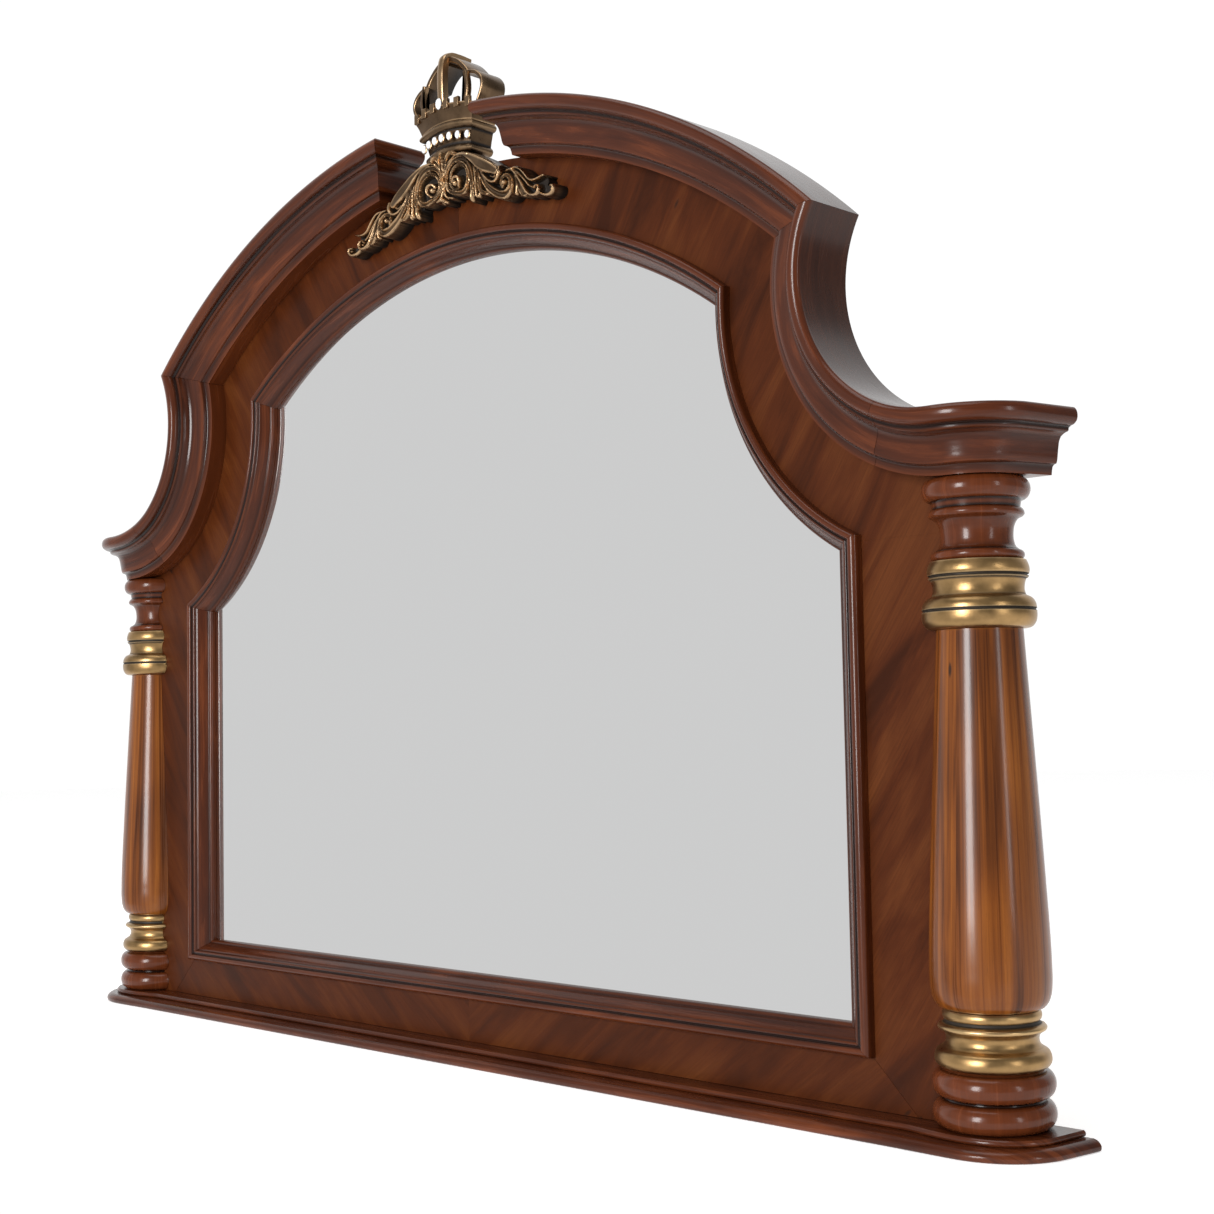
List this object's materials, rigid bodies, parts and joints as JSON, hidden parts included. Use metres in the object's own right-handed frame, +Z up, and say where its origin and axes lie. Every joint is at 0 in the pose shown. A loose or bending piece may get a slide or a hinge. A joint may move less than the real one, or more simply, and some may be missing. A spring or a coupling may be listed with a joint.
{
  "type": "dresser mirror",
  "caption": "Free-standing landscape dresser mirror with an arched moulded frame, broken pediment, turned side columns with metal collars, a moulded plinth and a crown-and-scroll crest.",
  "frame": {"origin": "middle of the plinth's underside, on the centre line and in the plane of the panel's front face", "axes": "+X along the width to the viewer's right, +Y from the front to the back, +Z up"},
  "size_m": [1.408, 0.1045, 1.069],
  "materials": {
    "mahogany": "satin lacquer",
    "veneer": "satin lacquer",
    "shaft_wood": "semi-gloss lacquer",
    "carcass_wood": "unfinished",
    "brass": "antiqued",
    "bronze": "antiqued",
    "steel": "plain",
    "silvered": "polished",
    "crystal": "polished"
  },
  "bodies": {
    "root": {"plinth_base": "mahogany", "plinth_step": "mahogany", "panel_bottom_rail": "veneer", "panel_stile_right": "veneer", "panel_stile_left": "veneer", "panel_head_right": "veneer", "panel_head_left": "veneer", "cornice_arch_right": "mahogany", "cornice_arch_left": "mahogany", "cornice_return_right": "mahogany", "cornice_return_left": "mahogany", "cornice_shoulder_right": "mahogany", "cornice_shoulder_left": "mahogany", "capital_right": "mahogany", "capital_left": "mahogany", "column_foot_right": "mahogany", "column_foot_left": "mahogany", "lower_collar_right": "brass", "lower_collar_left": "brass", "column_shaft_right": "shaft_wood", "column_shaft_left": "shaft_wood", "upper_collar_right": "brass", "upper_collar_left": "brass", "column_neck_right": "mahogany", "column_neck_left": "mahogany", "tie_rod_right": "steel", "tie_rod_left": "steel", "sight_bottom": "mahogany", "sight_side_right": "mahogany", "sight_side_left": "mahogany", "sight_concave_right": "mahogany", "sight_concave_left": "mahogany", "sight_arch": "mahogany", "mirror_glass": "silvered", "backing_board": "carcass_wood", "rear_stile_right": "carcass_wood", "rear_stile_left": "carcass_wood", "rear_bottom_rail": "carcass_wood", "crest_scroll_right": "bronze", "crest_scroll_left": "bronze", "crest_leaf": "bronze", "crest_block": "carcass_wood", "crown_band": "bronze", "crown_rim": "bronze", "crown_arms": "bronze", "crown_gem_front": "crystal", "crown_gem_1": "crystal", "crown_gem_2": "crystal", "crown_gem_3": "crystal", "crown_gem_4": "crystal", "crown_gem_5": "crystal", "crown_gem_6": "crystal", "crown_gem_7": "crystal"}
  },
  "joints": []
}
